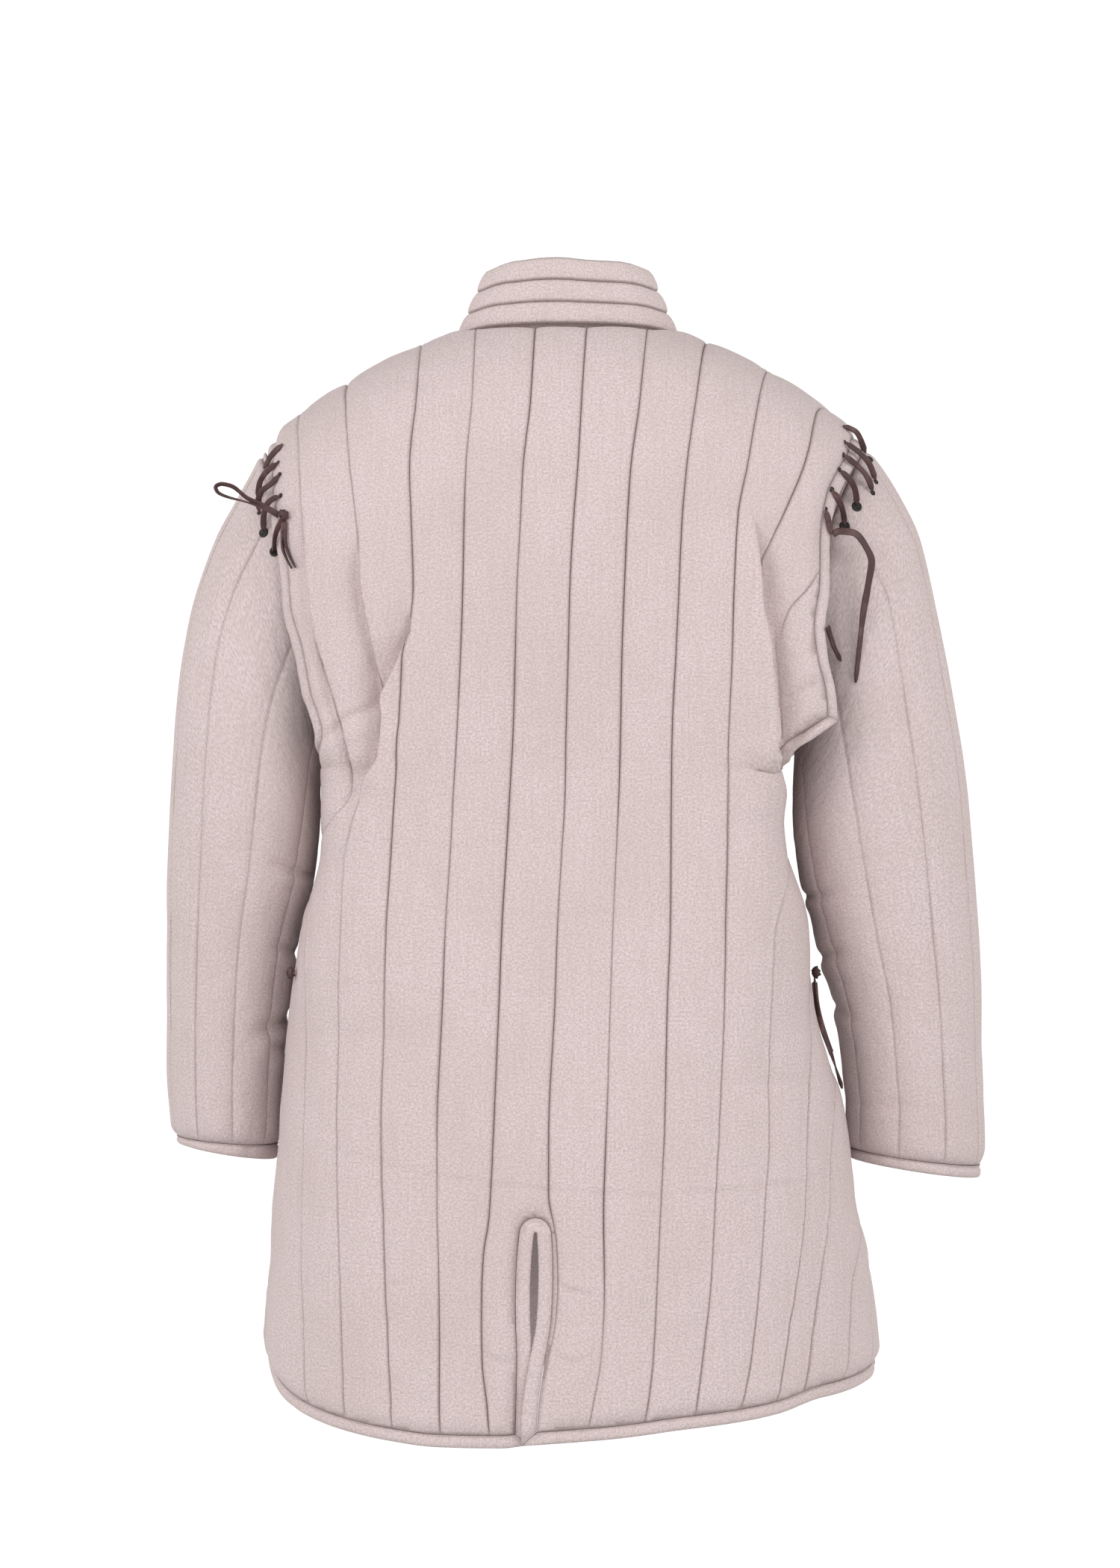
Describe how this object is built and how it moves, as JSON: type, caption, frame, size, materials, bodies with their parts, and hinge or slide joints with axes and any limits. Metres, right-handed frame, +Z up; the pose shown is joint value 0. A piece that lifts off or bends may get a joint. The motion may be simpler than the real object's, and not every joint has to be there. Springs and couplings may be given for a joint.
{
  "type": "gambeson",
  "caption": "Quilted canvas gambeson in its worn pose, with standing collar, sleeves tied on at the shoulders, laced sides and a vented hem; soft armour or a padded undergarment.",
  "frame": {"origin": "middle of the shoulders, level with the base of the neck", "axes": "+Z up, the front faces -Y and the back +Y, +X is the wearer's left"},
  "size_m": [0.7408, 0.3624, 1.0378],
  "materials": {
    "canvas": "natural cotton canvas, quilted",
    "binding": "natural cotton canvas strip",
    "lace_leather": "dark brown, satin"
  },
  "bodies": {
    "root": {"back_armhole_left_binding": "binding", "back_armhole_right_binding": "binding", "back_hem_left_binding": "binding", "back_hem_right_binding": "binding", "back_panel": "canvas", "back_side_left_binding": "binding", "back_side_right_binding": "binding", "back_vent_binding": "binding", "collar": "canvas", "front_armhole_left_binding": "binding", "front_armhole_right_binding": "binding", "front_hem_binding": "binding", "front_neck_slit_binding": "binding", "front_panel": "canvas", "front_side_left_binding": "binding", "front_side_right_binding": "binding", "hip_loop_right": "lace_leather", "hip_tail_right": "lace_leather", "shoulder_bow_left": "lace_leather", "shoulder_end_left": "lace_leather", "shoulder_end_right": "lace_leather", "shoulder_knot_left": "lace_leather", "shoulder_lace_left_1": "lace_leather", "shoulder_lace_left_2": "lace_leather", "shoulder_lace_left_3": "lace_leather", "shoulder_lace_left_4": "lace_leather", "shoulder_lace_right_1": "lace_leather", "shoulder_lace_right_2": "lace_leather", "shoulder_lace_right_3": "lace_leather", "shoulder_lace_right_4": "lace_leather", "shoulder_lace_right_5": "lace_leather", "shoulder_lace_right_6": "lace_leather", "shoulder_tail_left": "lace_leather", "shoulder_tail_right": "lace_leather", "side_knot_left": "lace_leather", "side_knot_right": "lace_leather", "side_lace_left": "lace_leather", "side_lace_right": "lace_leather", "sleeve_left": "canvas", "sleeve_left_cuff_binding": "binding", "sleeve_left_head_binding": "binding", "sleeve_right": "canvas", "sleeve_right_cuff_binding": "binding", "sleeve_right_head_binding": "binding"}
  },
  "joints": []
}
